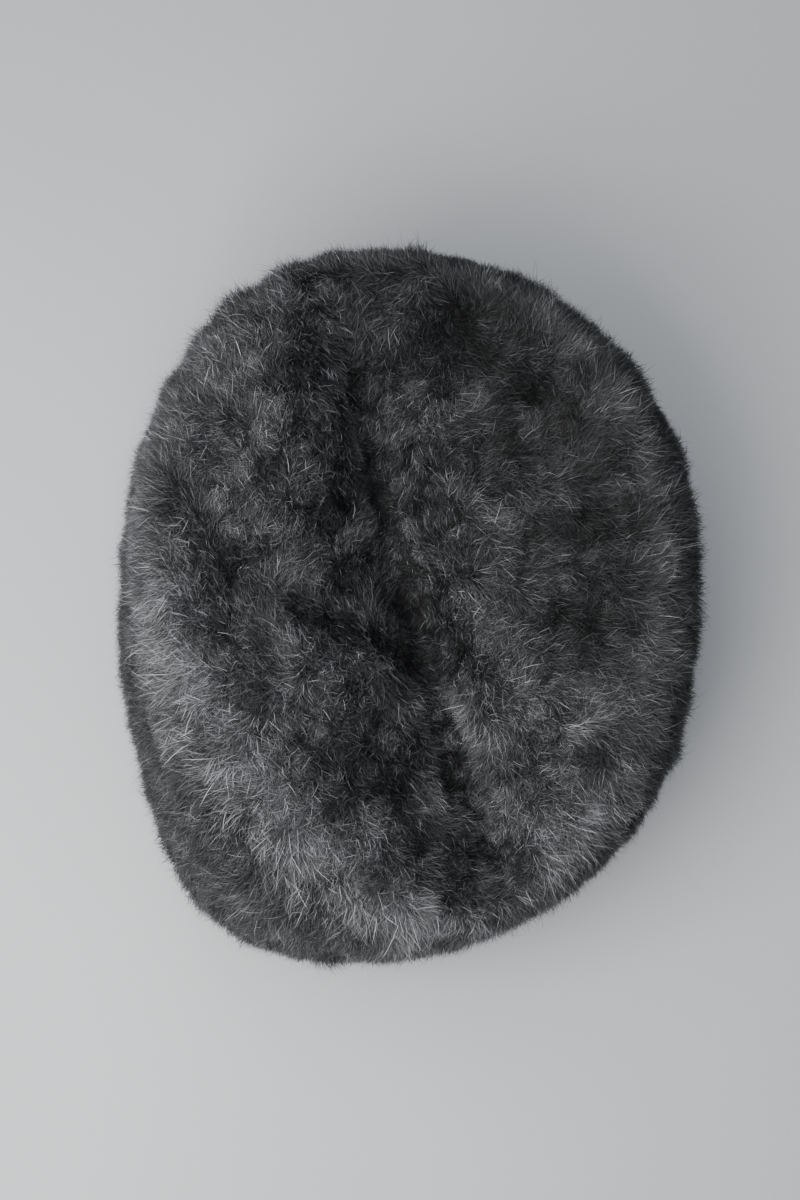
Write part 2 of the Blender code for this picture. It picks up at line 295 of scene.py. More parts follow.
class Wire:
    """One output of a node, which can be added, multiplied and so on as a number or a vector."""

    def __init__(self, tree, socket):
        self.tree = tree
        self.socket = socket

    def __getitem__(self, name):
        """Another output of the same node, by its name."""
        outputs = [s for s in self.socket.node.outputs if s.enabled and s.name == name]
        return Wire(self.tree, outputs[0])

    @property
    def is_vector(self):
        return self.socket.type in {"VECTOR", "RGBA", "ROTATION"}

    def join(self, operation, first, second):
        pair = (first, second)
        if any(isinstance(v, (tuple, Vector)) or (isinstance(v, Wire) and v.is_vector) for v in pair):
            values = [(v,) * 3 if isinstance(v, (int, float)) else v for v in pair]
            return self.tree.vector(operation, *values)
        return self.tree.math(operation, first, second)

    def __add__(self, other):
        return self.join("ADD", self, other)

    def __radd__(self, other):
        return self.join("ADD", other, self)

    def __sub__(self, other):
        return self.join("SUBTRACT", self, other)

    def __rsub__(self, other):
        return self.join("SUBTRACT", other, self)

    def __mul__(self, other):
        return self.join("MULTIPLY", self, other)

    def __rmul__(self, other):
        return self.join("MULTIPLY", other, self)

    def __rtruediv__(self, other):
        return self.join("DIVIDE", other, self)

    def __pow__(self, other):
        return self.join("POWER", self, other)

    def __neg__(self):
        return self.join("MULTIPLY", self, -1.0)


class Tree:
    """A shader or geometry tree that is filled node by node."""

    def __init__(self, tree):
        self.tree = tree

    def node(self, kind, settings=None, inputs=None):
        """Adds a node, makes its settings first, then fills its inputs, and gives its first output."""
        node = self.tree.nodes.new(kind)
        for name, value in (settings or {}).items():
            setattr(node, name, value)
        for key, value in (inputs or {}).items():
            self.fill(self.socket(node, key), value)
        outputs = [s for s in node.outputs if s.enabled]
        return Wire(self, outputs[0]) if outputs else node

    def socket(self, node, key):
        enabled = [s for s in node.inputs if s.enabled]
        if isinstance(key, int):
            return enabled[key]
        return next(s for s in enabled if s.name == key)

    def fill(self, socket, value):
        if isinstance(value, Wire):
            self.tree.links.new(value.socket, socket)
        elif isinstance(value, (tuple, Vector)) and socket.type == "RGBA" and len(value) == 3:
            socket.default_value = (*value, 1.0)
        else:
            socket.default_value = value

    def math(self, operation, *values):
        return self.node("ShaderNodeMath", {"operation": operation}, dict(enumerate(values)))

    def clamped(self, value):
        return self.node("ShaderNodeClamp", None, {"Value": value, "Min": 0.0, "Max": 1.0})

    def vector(self, operation, *values):
        return self.node("ShaderNodeVectorMath", {"operation": operation}, dict(enumerate(values)))

    def scaled(self, vector, amount):
        return self.node("ShaderNodeVectorMath", {"operation": "SCALE"}, {"Vector": vector, "Scale": amount})

    def parts(self, vector):
        wire = self.node("ShaderNodeSeparateXYZ", None, {0: vector})
        return wire["X"], wire["Y"], wire["Z"]

    def turned(self, way, side, angle):
        """The way, turned by the angle towards the side, to which it is square."""
        return self.scaled(way, self.math("COSINE", angle)) + self.scaled(side, self.math("SINE", angle))

    def mixed(self, share, first, second):
        """A colour between two colours."""
        return self.node(
            "ShaderNodeMix", {"data_type": "RGBA"}, {"Factor": share, "A": first, "B": second})

    def spread(self, value, low, high, new_low, new_high):
        return self.node("ShaderNodeMapRange", None, {
            "Value": value, "From Min": low, "From Max": high, "To Min": new_low, "To Max": new_high})

    def noise(self, place, scale, detail=2.0, roughness=0.5):
        return self.node("ShaderNodeTexNoise", None, {
            "Vector": place, "Scale": scale, "Detail": detail, "Roughness": roughness})

    def bump(self, strength, distance, height):
        return self.node("ShaderNodeBump", None, {
            "Strength": strength, "Distance": distance, "Height": height})

    def held(self, name, kind="FLOAT"):
        """What the mesh holds under that name."""
        return self.node("GeometryNodeInputNamedAttribute", {"data_type": kind}, {"Name": name})

    def store(self, geometry, name, value, kind="FLOAT", domain="POINT"):
        return self.node("GeometryNodeStoreNamedAttribute", {"data_type": kind, "domain": domain}, {
            "Geometry": geometry, "Name": name, "Value": value})

    def chance(self, low, high, seed):
        """A random number for each point."""
        return self.node("FunctionNodeRandomValue", {"data_type": "FLOAT"}, {
            "Min": low, "Max": high, "Seed": seed})


def new_material(name):
    """A new material, its tree and its shader."""
    material = bpy.data.materials.new(name)
    material.use_nodes = True
    shader = material.node_tree.nodes["Principled BSDF"]
    return material, Tree(material.node_tree), shader


def shine(shader, tree, **sockets):
    """Fills the shader's sockets, whose names are given with _ for a space."""
    for name, value in sockets.items():
        tree.fill(shader.inputs[name.replace("_", " ")], value)


def hair_material(name, root, tip, climb, fade):
    """Hair that is dark at its root and pale at its tip.

    The piece's map holds each hair's tone and how far along the hair a point lies.
    """
    material, tree, shader = new_material(name)
    tone, along, _ = tree.parts(tree.node("ShaderNodeUVMap", {"uv_map": "OFBake"}))
    share = tree.clamped(along) ** climb
    colour = tree.mixed(share, tuple(root), tuple(tip))
    colour = tree.scaled(colour, tone * MOST_TONE)
    shine(shader, tree, Base_Color=colour, Roughness=fade - 0.12 * share, Specular_IOR_Level=0.35)
    return material


def shaded(colour, share):
    """The colour, darker or paler by that share."""
    return tuple(min(1.0, share * c) for c in colour)


def pelt_material(colours):
    """Suede on the skin side, with paler scuffs and soft creases with painted shade in them, and dark wool on
    the fur side.
    """
    material, tree, shader = new_material("pelt")
    place = tree.node("ShaderNodeTexCoord")["Object"]
    furry = tree.clamped(tree.node("ShaderNodeAttribute", {"attribute_name": "fur_side"})["Fac"])
    nap = tree.noise(place, NAP_SCALE, 3.0, 0.6)
    cloud = tree.noise(place, SCUFF_SCALE, 4.0, 0.55)
    wobbled = place + WOBBLE * tree.noise(place, WOBBLE_SCALE)["Color"]
    crease = tree.node("ShaderNodeTexVoronoi", {"feature": "DISTANCE_TO_EDGE"}, {
        "Vector": wobbled, "Scale": HIDE_CREASE_SCALE})
    worn = tree.clamped(tree.spread(cloud, 0.35, 0.7, 0.0, 1.0))
    deep = tree.clamped(tree.spread(crease, 0.0, 0.08, 1.0, 0.0))
    dark = shaded(colours.hide, 0.55)
    light = shaded(colours.hide, 1.55)
    suede = tree.mixed(tree.clamped(0.65 * worn + 0.35 * nap), dark, light)
    # Shade is painted into the hide's creases.
    suede = tree.mixed(0.45 * deep, suede, dark)
    wool = tree.mixed(nap, shaded(colours.root, 0.6), shaded(colours.tip, 0.12))
    height = nap * 0.35 + cloud * 0.5 - deep * 0.4 * (1.0 - furry)
    bump = tree.bump(0.55, 0.7 * MM, height)
    shine(shader, tree, Base_Color=tree.mixed(furry, suede, wool), Roughness=0.78 + 0.16 * nap,
          Normal=bump, Specular_IOR_Level=0.3)
    return material


def thread_material(colours):
    """Waxed sewing thread, with the twist of its strands."""
    material, tree, shader = new_material("thread")
    place = tree.node("ShaderNodeTexCoord")["Object"]
    fibre = tree.noise(place, FIBRE_SCALE, 2.0)
    bump = tree.bump(0.4, 0.2 * MM, fibre)
    colour = tree.mixed(tree.clamped(fibre), tuple(colours.thread), shaded(colours.thread, 2.2))
    shine(shader, tree, Base_Color=colour, Roughness=0.5 + 0.3 * fibre, Normal=bump)
    return material


def floor_material(colours):
    """A pale worn table top."""
    material, tree, shader = new_material("floor")
    place = tree.node("ShaderNodeTexCoord")["Object"]
    cloud = tree.noise(place, TABLE_CLOUD_SCALE, 4.0)
    grain = tree.noise(place, TABLE_GRAIN_SCALE, 2.0)
    share = tree.clamped(0.7 * cloud + 0.3 * grain)
    colour = tree.mixed(share, shaded(colours.floor, 0.93), shaded(colours.floor, 1.05))
    bump = tree.bump(0.15, 0.4 * MM, grain)
    shine(shader, tree, Base_Color=colour, Roughness=0.5 + 0.15 * cloud, Normal=bump)
    return material


def link(piece):
    bpy.context.scene.collection.objects.link(piece)
    return piece


def frozen(piece, name):
    """A plain mesh of the piece as its modifiers leave it. The piece itself is removed."""
    graph = bpy.context.evaluated_depsgraph_get()
    mesh = bpy.data.meshes.new_from_object(
        piece.evaluated_get(graph), preserve_all_data_layers=True, depsgraph=graph)
    worn_out = piece.data
    bpy.data.objects.remove(piece)
    bpy.data.meshes.remove(worn_out)
    mesh.name = name
    return mesh


def places(mesh):
    found = np.empty(len(mesh.vertices) * 3, np.float32)
    mesh.vertices.foreach_get("co", found)
    return found.reshape(-1, 3)


def facings(mesh):
    found = np.empty(len(mesh.vertices) * 3, np.float32)
    mesh.vertices.foreach_get("normal", found)
    return found.reshape(-1, 3)


def joined_skin(grid):
    """Both CAD pelts grown together into one soft skin, so that the fur runs on over their seam."""
    made = bmesh.new()
    for node in (BAND, CROWN):
        made.from_mesh(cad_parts[node].data)
    bmesh.ops.remove_doubles(made, verts=made.verts, dist=WELD)
    made.normal_update()
    for vertex in made.verts:
        vertex.co += vertex.normal * SEAM_CLOSING
    mesh = bpy.data.meshes.new("skin")
    made.to_mesh(mesh)
    made.free()
    skin = link(bpy.data.objects.new("skin", mesh))
    remesh = skin.modifiers.new("even_grid", "REMESH")
    remesh.mode = "VOXEL"
    remesh.voxel_size = grid
    soften = skin.modifiers.new("soften", "SMOOTH")
    soften.factor = 0.5
    soften.iterations = SOFTENING_ROUNDS
    return frozen(skin, "skin")


def surface_tree(mesh):
    """The mesh's surface, ready to be asked what lies near and what a ray meets."""
    faces = [list(face.vertices) for face in mesh.polygons]
    return BVHTree.FromPolygons([v.co for v in mesh.vertices], faces)


def reach_to(node, at):
    """How far each place lies from the surface of a CAD node."""
    tree = surface_tree(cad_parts[node].data)
    return np.array([tree.find_nearest(Vector(place))[3] for place in at])


def cut_along_seam(mesh, lead):
    """Cuts the skin where the lead of the crown turns from plus to minus, and keeps it on each vertex."""
    made = bmesh.new()
    made.from_mesh(mesh)
    layer = made.verts.layers.float.new("lead")
    for vertex, value in zip(made.verts, lead):
        vertex[layer] = math.copysign(max(abs(value), SEAM_CLEARANCE), value)
    crossed = [e for e in made.edges if e.verts[0][layer] * e.verts[1][layer] < 0]
    seam = []
    for edge in crossed:
        first, second = (v[layer] for v in edge.verts)
        seam.append(bmesh.utils.edge_split(edge, edge.verts[0], first / (first - second))[1])
    for vertex in seam:
        vertex[layer] = 0.0
    bmesh.ops.connect_verts(made, verts=seam)
    made.to_mesh(mesh)
    made.free()


def eased(mesh, values, rounds):
    """Values for the vertices, each spread a little to its neighbours in each round."""
    pairs = np.empty(len(mesh.edges) * 2, np.int32)
    mesh.edges.foreach_get("vertices", pairs)
    pairs = np.concatenate((pairs.reshape(-1, 2), pairs.reshape(-1, 2)[:, ::-1]))
    values = np.asarray(values, float).reshape(len(values), -1)
    count = np.maximum(np.bincount(pairs[:, 0], minlength=len(values)), 1)
    for _ in range(rounds):
        total = np.stack([
            np.bincount(pairs[:, 0], weights=column[pairs[:, 1]], minlength=len(values))
            for column in values.T], axis=1)
        values = 0.5 * values + 0.5 * total / count[:, None]
    return values


def unit(vectors):
    return vectors / np.maximum(np.linalg.norm(vectors, axis=1, keepdims=True), 1e-9)


def ramp(values, low, high):
    """0 up to the low value, 1 from the high one on, and straight between them."""
    return np.clip((values - low) / (high - low), 0.0, 1.0)


def hill(values, reach):
    """1 where a value is 0, and less on both sides, over about that reach."""
    return np.exp(-(values / reach) ** 2)


def wander(at, size, seed):
    """A smooth random value from about -1 to 1 at each place, with hills of about that size."""
    dice = np.random.default_rng(seed)
    total = np.zeros(len(at))
    for _ in range(WAVES):
        way = dice.normal(size=3)
        way *= dice.uniform(*WAVE_RATES) * math.pi / size / np.linalg.norm(way)
        total += np.sin(at @ way + dice.uniform(0, 2 * math.pi))
    return total / WAVES_SPREAD


def wanders(at, kinds):
    """The sum of several wandering values, each given as how much, the size of its hills and a seed."""
    return sum(amount * wander(at, size, seed) for amount, size, seed in kinds)


def furred_share(mesh, at, facing):
    """How furry each point of the skin is: 1 where it sees out, up or sideways, and 0 inside and below."""
    tree = surface_tree(mesh)
    starts = at + facing * (MM, MM, 0.0) + (0.0, 0.0, RAY_LIFT)
    out = unit(at * (1.0, 1.0, 0.0))
    share = np.zeros(len(at))
    for i, (start, side) in enumerate(zip(starts, out)):
        ways = (Vector((0.0, 0.0, 1.0)), Vector(side))
        share[i] = any(tree.ray_cast(Vector(start), way)[0] is None for way in ways)
    return share * ramp(facing[:, 2], *FURRED_SLOPES)


def comb_crown(at):
    """The heading of the crown's hairs, blended from the comb's strokes."""
    strokes = np.array(CROWN_COMB, float)
    turns = np.radians(strokes[:, 2])
    apart = at[:, None, :2] - strokes[None, :, :2] * MM
    weight = np.exp(-np.sum(apart ** 2, axis=2) / (2 * COMB_REACH ** 2)) + 1e-9
    way = np.stack((weight @ np.cos(turns), weight @ np.sin(turns), np.zeros(len(at))), axis=1)
    return unit(way)


def comb_band(at):
    """The band's hairs lie outwards over the crest and then down the side."""
    out = unit(at * (1.0, 1.0, 0.0))
    return unit(out * BAND_OUTWARD + np.array((0.0, 0.0, -1.0)))


def turned(way, about, angle):
    """Each way, turned by its angle about its axis, to which it is square."""
    side = np.cross(about, way)
    return way * np.cos(angle)[:, None] + side * np.sin(angle)[:, None]


def comb(on_crown, at, facing):
    """The lie of the hairs on the skin, with the cowlicks that handling leaves."""
    way = comb_crown(at) * on_crown[:, None] + comb_band(at) * (1.0 - on_crown[:, None])
    way = unit(way - facing * np.sum(way * facing, axis=1)[:, None])
    return turned(way, facing, np.radians(wanders(at, TURN_WANDERS)))


def near(at, spots, reach):
    """How near each point lies to the closest of some spots on the crown, from 1 to 0."""
    apart = at[:, None, :2] - np.array(spots, float)[None] * MM
    return np.exp(-np.sum(apart ** 2, axis=2) / (2 * reach ** 2)).max(axis=1)


def filled(line, step=2.0):
    """The points of a line with more points between them."""
    line = np.array(line, float)
    far = np.concatenate(([0.0], np.cumsum(np.linalg.norm(np.diff(line, axis=0), axis=1))))
    along = np.arange(0.0, far[-1], step)
    return np.stack((np.interp(along, far, line[:, 0]), np.interp(along, far, line[:, 1])), axis=1)


def toned(at, spots, tone):
    """How the fur's tone changes round some spots. The tone is by how much, and how far round them."""
    change, reach = tone
    return change * near(at, spots, reach)


def by_seam(lead, change):
    """What is added beside the seam. The change is by how much, and how far from it."""
    amount, reach = change
    return amount * hill(lead, reach)


def tone_with_painted_light(lead, on_crown, at):
    """How pale the fur is, with light and shade painted in: 1 is even, the puffs, the crest and the seam get
    painted highlights, the partings are darker from their roots and from painted shade, and the crease, a
    patch, the far right and the wall get painted shade.
    """
    tone = 1.0 + wanders(at, TONE_WANDERS)
    # A highlight is painted on the puffs.
    tone += on_crown * toned(at, HIGHLIGHT_PUFFS, PUFF_HIGHLIGHT_TONE)
    # The partings are darker from their roots and from painted shade.
    tone += on_crown * toned(at, DARK_PARTINGS, PARTING_ROOTS_AND_SHADE_TONE)
    # Shade is painted along the crease.
    tone += on_crown * toned(at, filled(CREASE_LINE), CREASE_SHADE_TONE)
    # Shade is painted on a patch of the crown.
    tone *= 1.0 + on_crown * toned(at, PAINTED_SHADE_PATCH, PATCH_SHADE_TONE)
    # Shade is painted on the far right of the hat.
    tone *= 1.0 + FAR_SHADE_TONE * ramp(at[:, :2] @ FAR_SHADE_WAY, 0.0, FAR_SHADE_REACH)
    # A highlight is painted on the crest.
    tone += ramp(at[:, 2], *PAINTED_HIGHLIGHT_CREST_HEIGHTS) * toned(at, PAINTED_HIGHLIGHT_CREST, PAINTED_HIGHLIGHT_CREST_TONE)
    # A highlight is painted along the seam at the crest.
    tone += by_seam(lead, SEAM_HIGHLIGHT_TONE)
    # Shade is painted on the wall.
    tone *= 1.0 + WALL_SHADE_TONE * ramp(-lead, *WALL_SHADE_LEADS)
    return np.clip(tone, *TONE_LIMITS)


def values_of(mesh, name):
    found = np.empty(len(mesh.vertices), np.float32)
    mesh.attributes[name].data.foreach_get("value", found)
    return found


def add_values(mesh, name, kind, values):
    """Stores one value for each vertex."""
    layer = mesh.attributes.new(name, kind, "POINT")
    key = "vector" if kind == "FLOAT_VECTOR" else "value"
    layer.data.foreach_set(key, np.asarray(values, np.float32).ravel())


def density_of(lead, share, parting, at):
    """How dense the hairs stand: denser high up, where they are looked at, and beside the seam."""
    beside = np.where(lead > 0.0, by_seam(lead, CROWN_SEAM_FUR), by_seam(lead, BAND_SEAM_FUR))
    density = LOW_FUR + HIGH_FUR * ramp(at[:, 2], *HIGH_FUR_HEIGHTS) + beside
    return density * share * (at[:, 2] > BARE_RIM) * (1.0 - PARTING_THINNING * parting)


def sink_skin(mesh, sizes, lead, share, parting):
    """Moves the skin from the fur's outer form to the hairs' roots, and gives its new places."""
    at = places(mesh)
    facing = facings(mesh)
    hollow = np.sum((eased(mesh, at, HOLLOW_ROUNDS) - at) * facing, axis=1)
    filling = sizes.crease_fill * np.clip(hollow, 0.0, DEEPEST_HOLLOW) * share
    sink = facing * (share * sizes.sink - (filling - sizes.parting_depth * parting))[:, None]
    sink = np.where(share[:, None] > FULLY_FURRED, sink, eased(mesh, sink, SINK_ROUNDS))
    sunk = at - sink
    round_off = hill(lead, CREST_REACH)[:, None] * (share[:, None] > 0.5)
    sunk = sunk * (1.0 - round_off) + eased(mesh, sunk, CREST_ROUNDS) * round_off
    sunk[:, 2] = np.maximum(sunk[:, 2], 0.0)
    under_rim = (at[:, 2] < RIM_TOP) & (facing[:, 2] < RIM_SLOPE)
    sunk[under_rim, 2] = 0.0
    mesh.vertices.foreach_set("co", sunk.astype(np.float32).ravel())
    mesh.update()
    return sunk


def make_skin(sizes, colours):
    """The skin of the whole hat, sunk under its fur, with the values that the fur grows by.

    A point's lead is how much nearer the crown it lies than the band, and 0 is the seam.
    """
    mesh = joined_skin(sizes.grid)
    at = places(mesh)
    lead = eased(mesh, reach_to(BAND, at) - reach_to(CROWN, at), LEAD_ROUNDS)[:, 0]
    cut_along_seam(mesh, lead)
    at = places(mesh)
    lead = values_of(mesh, "lead")
    share = furred_share(mesh, at, facings(mesh))
    parting = share * near(at, filled(CREASE_LINE), PARTING_REACH) * (at[:, 2] > CROWN_FLOOR)
    sunk = sink_skin(mesh, sizes, lead, share, parting)
    facing = facings(mesh)
    wide = hill(lead, STAND_REACH)[:, None]
    stand = unit(facing * (1.0 - wide) + unit(eased(mesh, facing, STAND_ROUNDS)) * wide)
    on_crown = ramp(lead, -SEAM_BLEND, SEAM_BLEND)
    stretch = 1.0 + wanders(sunk, LENGTH_WANDERS) + by_seam(lead, CREST_STRETCH) - PARTING_TRIM * parting
    add_values(mesh, "fur", "FLOAT", density_of(lead, share, parting, at))
    add_values(mesh, "fur_side", "FLOAT", ramp(share, *FUR_SIDE_SHARES))
    add_values(mesh, "stand", VECTOR, stand)
    add_values(mesh, "comb", VECTOR, comb(on_crown, sunk, stand))
    add_values(mesh, "tone", "FLOAT", tone_with_painted_light(lead, on_crown, sunk))
    add_values(mesh, "stretch", "FLOAT", stretch)
    mesh.materials.append(pelt_material(colours))
    mesh.polygons.foreach_set("use_smooth", [True] * len(mesh.polygons))
    return mesh


def make_bed(node):
    """The part of the skin that belongs to one CAD node, which its fur grows on."""
    scene = bpy.context.scene
    skin = bpy.data.meshes.get("skin") or make_skin(scene.hat_sizes, scene.hat_colours)
    sign = 1.0 if node == CROWN else -1.0
    made = bmesh.new()
    made.from_mesh(skin)
    lead = made.verts.layers.float["lead"]
    others = [f for f in made.faces if sign * sum(v[lead] for v in f.verts) < 0]
    bmesh.ops.delete(made, geom=others, context="FACES")
    mesh = bpy.data.meshes.new(node + "_bed")
    made.to_mesh(mesh)
    made.free()
    for material in skin.materials:
        mesh.materials.append(material)
    return mesh


def make_pelt(node):
    """The pelt that stands for one CAD node: its bed, closed by a wall along the seam."""
    mesh = make_bed(node).copy()
    mesh.name = node + "_pelt"
    made = bmesh.new()
    made.from_mesh(mesh)
    walls = bmesh.ops.bridge_loops(made, edges=[e for e in made.edges if e.is_boundary])["faces"]
    for face in walls:
        face.smooth = True
    made.to_mesh(mesh)
    made.free()
    drop_values(mesh, GROWTH_VALUES)
    return link(bpy.data.objects.new(node + "_pelt", mesh))


def fur_area(mesh):
    """The pelt's area, each face counted by how dense its fur is."""
    share = values_of(mesh, "fur")
    return sum(face.area * float(np.mean(share[list(face.vertices)])) for face in mesh.polygons)


def hair_strip(name, steps):
    """One flat tapering hair. Each vertex holds how far along it lies and on which side."""
    along = [i / steps for i in range(steps) for _ in (0, 1)] + [1.0]
    across = [s for _ in range(steps) for s in (-1.0, 1.0)] + [0.0]
    spots = [(0.01 * c, 0.0, a) for a, c in zip(along, across)]
    faces = [(2 * i, 2 * i + 1, 2 * i + 3, 2 * i + 2) for i in range(steps - 1)]
    faces.append((2 * steps - 2, 2 * steps - 1, 2 * steps))
    mesh = bpy.data.meshes.new(name)
    mesh.from_pydata(spots, [], faces)
    add_values(mesh, "along", "FLOAT", along)
    add_values(mesh, "across", "FLOAT", across)
    return link(bpy.data.objects.new(name, mesh))


def add_inputs(tree, inputs):
    """Names the tree's inputs, with a default for each."""
    sockets = tree.interface
    sockets.new_socket("Geometry", in_out="INPUT", socket_type="NodeSocketGeometry")
    sockets.new_socket("Geometry", in_out="OUTPUT", socket_type="NodeSocketGeometry")
    for name, (kind, value) in inputs.items():
        socket = sockets.new_socket(name, in_out="INPUT", socket_type=kind)
        if value is not None:
            socket.default_value = value


def sprouts(tree, given):
    """Points on the pelt, each with the values of the hair that grows there."""
    points = tree.node("GeometryNodeDistributePointsOnFaces", {"distribute_method": "RANDOM"}, {
        "Mesh": given["Geometry"], "Density": given["Density"] * tree.held("fur"), "Seed": given["Seed"]})
    facing = tree.vector("NORMALIZE", tree.held("stand", VECTOR))
    root = tree.node("GeometryNodeInputPosition")
    cell = tree.node("ShaderNodeTexVoronoi", {"feature": "F1"}, {
        "Vector": root, "Scale": 1.0 / given["Tuft"], "Randomness": 1.0})
    luck = tree.node("ShaderNodeTexWhiteNoise", {"noise_dimensions": "3D"}, {"Vector": cell["Color"]})
    luck_length, luck_tone, luck_turn = tree.parts(luck["Color"])

    def chance(low, high, salt):
        return tree.chance(low, high, given["Seed"] + float(salt))

    way = tree.held("comb", VECTOR)
    side = tree.vector("CROSS_PRODUCT", facing, way)
    scatter = given["Spread"] * (chance(-1.0, 1.0, 1) + chance(-1.0, 1.0, 2)) * HAIR_SCATTER
    angle = scatter + (luck_turn - 0.5) * TUFT_TURN
    heading = tree.turned(way, side, angle)
    across = tree.vector("CROSS_PRODUCT", facing, heading)
    across = tree.turned(across, facing, chance(-HAIR_ROLL, HAIR_ROLL, 3))
    length = given["Length"] * tree.held("stretch") * chance(*HAIR_LENGTHS, 4)
    length = length * (TUFT_LENGTHS[0] + TUFT_LENGTHS[1] * luck_length)
    gather = cell["Position"] - root
    gather = gather - tree.scaled(facing, tree.vector("DOT_PRODUCT", gather, facing)["Value"])
    own_tone = HAIR_TONE_BASE + HAIR_TONE_RANGE * chance(0.0, 1.0, 5) ** HAIR_TONE_POWER
    tone = tree.held("tone") * given["Tone"] * own_tone * (TUFT_TONES[0] + TUFT_TONES[1] * luck_tone)

    grown = tree.store(points, "hair_root", root, VECTOR)
    grown = tree.store(grown, "hair_facing", facing, VECTOR)
    grown = tree.store(grown, "hair_heading", heading, VECTOR)
    grown = tree.store(grown, "hair_side", across, VECTOR)
    grown = tree.store(grown, "hair_gather", gather, VECTOR)
    grown = tree.store(grown, "hair_length", length)
    grown = tree.store(grown, "hair_tone", tone)
    grown = tree.store(grown, "hair_lift", chance(*HAIR_LIFTS, 6) * given["Lift"])
    return tree.store(grown, "hair_bend", chance(-1.0, 1.0, 7) * given["Bend"])


def hair_places(tree, given):
    """Where each point of a realized strip goes, from the values that its hair holds."""
    along = tree.held("along")
    reach = tree.held("hair_length")
    up = reach * tree.held("hair_lift") * (along - HAIR_DROOP * along * along)
    out = reach * given["Lean"] * (EARLY_LEAN * along + (1.0 - EARLY_LEAN) * along * along)
    aside = tree.held("hair_bend") * reach * along * along
    half = given["Width"] * 0.5 * (1.0 - HAIR_TAPER * along)
    place = tree.held("hair_root", VECTOR)
    place = place + tree.scaled(tree.held("hair_facing", VECTOR), up)
    place = place + tree.scaled(tree.held("hair_heading", VECTOR), out)
    place = place + tree.scaled(tree.held("hair_side", VECTOR), aside)
    place = place + tree.scaled(tree.held("hair_gather", VECTOR), given["Gather"] * along * along)
    place = place + tree.scaled(tree.held("hair_side", VECTOR), tree.held("across") * half)
    return tree.vector("MAXIMUM", place, (-FLOOR_HALF, -FLOOR_HALF, FLOOR_CLEARANCE))


def fur_tree():
    """Grows hairs on a pelt along its comb, gathered into tufts."""
    group = bpy.data.node_groups.new("grow_fur", "GeometryNodeTree")
    number = "NodeSocketFloat"
    add_inputs(group, {
        "Hair": ("NodeSocketObject", None),
        "Material": ("NodeSocketMaterial", None),
        "Density": (number, 1000000.0),
        "Seed": ("NodeSocketInt", 1),
        "Length": (number, 0.008),
        "Width": (number, 0.00025),
        "Lift": (number, 0.85),
        "Lean": (number, 0.7),
        "Spread": (number, 0.45),
        "Bend": (number, 0.3),
        "Tuft": (number, 0.0085),
        "Gather": (number, 0.4),
        "Tone": (number, 1.0),
    })
    tree = Tree(group)
    given = tree.node("NodeGroupInput")
    strip = tree.node("GeometryNodeObjectInfo", None, {"Object": given["Hair"]})["Geometry"]
    hairs = tree.node("GeometryNodeInstanceOnPoints", None, {
        "Points": sprouts(tree, given), "Instance": strip})
    hairs = tree.node("GeometryNodeRealizeInstances", None, {"Geometry": hairs})
    hairs = tree.node("GeometryNodeSetPosition", None, {
        "Geometry": hairs, "Position": hair_places(tree, given)})
    tone = tree.clamped(tree.held("hair_tone") * (1.0 / MOST_TONE))
    sample = tree.node("ShaderNodeCombineXYZ", None, {"X": tone, "Y": tree.held("along")})
    hairs = tree.store(hairs, "OFBake", sample, "FLOAT2", "CORNER")
    hairs = tree.node("GeometryNodeSetMaterial", None, {"Geometry": hairs, "Material": given["Material"]})
    tree.node("NodeGroupOutput", None, {"Geometry": hairs})
    return group


def stitch_tree():
    """Sews whip stitches over a seam: slanted threads, each bowed over the two edges."""
    group = bpy.data.node_groups.new("whip_stitches", "GeometryNodeTree")
    number = "NodeSocketFloat"
    add_inputs(group, {
        "Material": ("NodeSocketMaterial", None),
        "Spacing": (number, 0.004),
        "Reach": (number, 0.0045),
        "Thread": (number, 0.0003),
        "Slant": (number, 0.45),
        "Seed": ("NodeSocketInt", 1),
    })
    tree = Tree(group)
    given = tree.node("NodeGroupInput")
    line = tree.node("GeometryNodeMeshToCurve", None, {"Mesh": given["Geometry"]})
    line = tree.node("GeometryNodeResampleCurve", {"mode": "LENGTH"}, {
        "Curve": line, "Length": given["Spacing"]})
    facing = tree.held("facing", VECTOR)
    along = tree.node("GeometryNodeInputTangent")
    across = tree.vector("NORMALIZE", tree.vector("CROSS_PRODUCT", facing, along))
    slant = given["Slant"] + tree.chance(-SLANT_LUCK, SLANT_LUCK, given["Seed"])
    turn = tree.node("FunctionNodeAxesToRotation", {"primary_axis": "Z", "secondary_axis": "X"}, {
        "Primary Axis": facing, "Secondary Axis": across + tree.scaled(along, slant)})
    half = given["Reach"] * 0.5
    dip = given["Thread"] * STITCH_DIP
    start = tree.node("ShaderNodeCombineXYZ", None, {"X": -half, "Z": dip})
    bow = tree.node("ShaderNodeCombineXYZ", None, {"Z": given["Thread"] * STITCH_RISE})
    end = tree.node("ShaderNodeCombineXYZ", None, {"X": half, "Z": dip})
    arch = tree.node("GeometryNodeCurveQuadraticBezier", None, {
        "Resolution": STITCH_SIDES, "Start": start, "Middle": bow, "End": end})
    ring = tree.node("GeometryNodeCurvePrimitiveCircle", None, {
        "Resolution": STITCH_SIDES, "Radius": given["Thread"]})
    thread = tree.node("GeometryNodeCurveToMesh", None, {
        "Curve": arch, "Profile Curve": ring, "Fill Caps": True})
    sewn = tree.node("GeometryNodeInstanceOnPoints", None, {
        "Points": line, "Instance": thread, "Rotation": turn})
    sewn = tree.node("GeometryNodeRealizeInstances", None, {"Geometry": sewn})
    sewn = tree.node("GeometryNodeSetMaterial", None, {"Geometry": sewn, "Material": given["Material"]})
    tree.node("NodeGroupOutput", None, {"Geometry": sewn})
    return group


